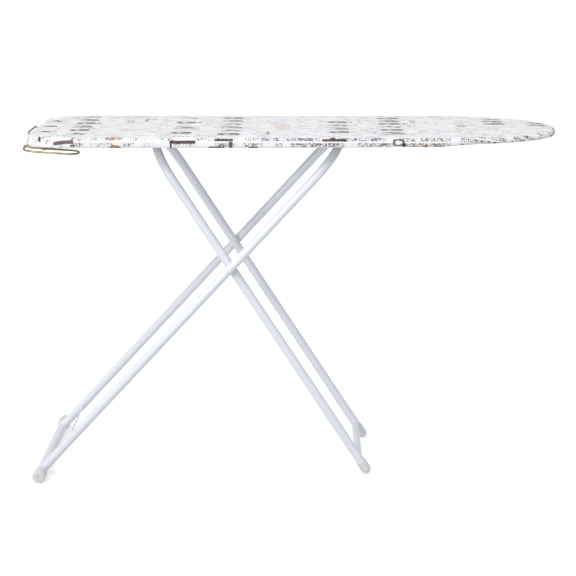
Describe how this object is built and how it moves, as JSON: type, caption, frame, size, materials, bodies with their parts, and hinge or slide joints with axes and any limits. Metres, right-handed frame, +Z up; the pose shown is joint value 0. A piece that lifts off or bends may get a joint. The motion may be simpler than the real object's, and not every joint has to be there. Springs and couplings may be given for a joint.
{
  "type": "folding ironing board",
  "caption": "Folding ironing board with a rounded nose, padded cloth cover, crossed U-shaped tube legs and a pull-out wire iron rest.",
  "frame": {"origin": "on the floor under the middle of the overall length and width", "axes": "+X from the square tail to the nose, +Y across the board, +Z up"},
  "size_m": [1.1136, 0.35, 0.749],
  "materials": {
    "cover_cloth": "printed cotton",
    "pad_foam": "foam",
    "elastic": "braided elastic",
    "panel_steel": "powder coat",
    "plated_steel": "zinc plated",
    "leg_paint": "gloss powder coat",
    "white_plastic": "moulded",
    "dark_plastic": "moulded",
    "rest_steel": "olive passivated wire"
  },
  "bodies": {
    "board": {"cover": "cover_cloth", "pad": "pad_foam", "hem_cord": "elastic", "top_panel": "panel_steel", "tail_strut": "panel_steel", "cross_struts": "panel_steel", "leg_track": "plated_steel", "track_rivets": "plated_steel", "hinge_strap": "plated_steel", "hinge_block": "dark_plastic", "strap_rivets": "plated_steel", "lever_pin": "plated_steel", "lever_spring": "plated_steel", "rest_clips": "rest_steel", "clip_screws": "plated_steel"},
    "height_lever": {"rack_lever": "plated_steel", "lever_grip": "dark_plastic"},
    "inner_leg": {"inner_leg_tube": "leg_paint", "inner_brace": "leg_paint", "inner_boots": "white_plastic"},
    "outer_leg": {"outer_leg_tube": "leg_paint", "outer_foot_tube": "leg_paint", "outer_foot_caps": "white_plastic", "stay_rod": "leg_paint", "slide_sleeves": "dark_plastic", "pivot_rivets": "leg_paint", "pivot_washers": "white_plastic"},
    "iron_rest": {"iron_rest_wire": "rest_steel"}
  },
  "joints": [
    {"name": "leg_fold", "type": "hinge", "parent": "board", "child": "inner_leg", "pos_m": [-0.28564, 0, 0.713], "axis": [0, -1, 0], "range_deg": [0, 55]},
    {"name": "leg_cross", "type": "hinge", "parent": "inner_leg", "child": "outer_leg", "pos_m": [-0.128, 0, 0.4665], "axis": [0, 1, 0], "range_deg": [0, 100.5]},
    {"name": "height_lever", "type": "hinge", "parent": "board", "child": "height_lever", "pos_m": [0.36588, 0, 0.7313], "axis": [0, 1, 0], "range_deg": [0, 1.5], "stiffness_Nm_per_rad": 8, "springref_deg": -2.86},
    {"name": "rest_slide", "type": "slide", "parent": "board", "child": "iron_rest", "axis": [-0.9981, 0, 0.061], "range_m": [0, 0.05]}
  ],
  "couplings": [
    {"joint": "leg_cross", "follows": "leg_fold", "ratio": 1.8255}
  ]
}
